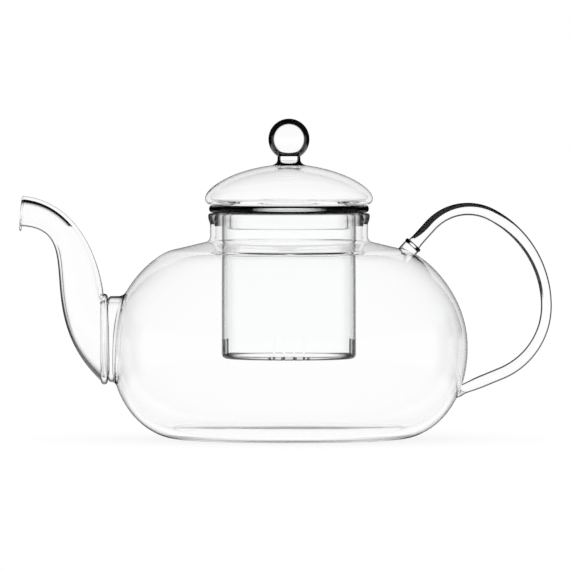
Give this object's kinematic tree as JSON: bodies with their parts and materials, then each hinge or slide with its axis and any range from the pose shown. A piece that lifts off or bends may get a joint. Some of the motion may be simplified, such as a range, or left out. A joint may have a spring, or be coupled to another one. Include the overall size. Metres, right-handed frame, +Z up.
{
  "type": "teapot",
  "caption": "Clear glass teapot with a round bulb, S-curved spout, bent rod handle, lift-out slit infuser cup and a hollow domed lid with a ball knob, for brewing leaf tea.",
  "frame": {"origin": "centre of the flat base, on the axis of the bulb", "axes": "+Z up along the axis of the bulb, -X towards the spout, +X towards the handle"},
  "size_m": [0.27, 0.181, 0.1621],
  "materials": {
    "pot_glass": "clear, fire-polished",
    "infuser_glass": "clear, fire-polished",
    "lid_glass": "clear, fire-polished"
  },
  "bodies": {
    "pot": {"pot_body": "pot_glass", "spout": "pot_glass", "handle": "pot_glass"},
    "infuser": {"infuser": "infuser_glass"},
    "lid": {"lid_dome": "lid_glass", "lid_knob": "lid_glass"}
  },
  "joints": [
    {"name": "infuser_lift", "type": "slide", "parent": "pot", "child": "infuser", "axis": [0, 0, 1], "range_m": [0, 0.08]},
    {"name": "lid_lift", "type": "slide", "parent": "infuser", "child": "lid", "axis": [0, 0, 1], "range_m": [0, 0.04]}
  ]
}
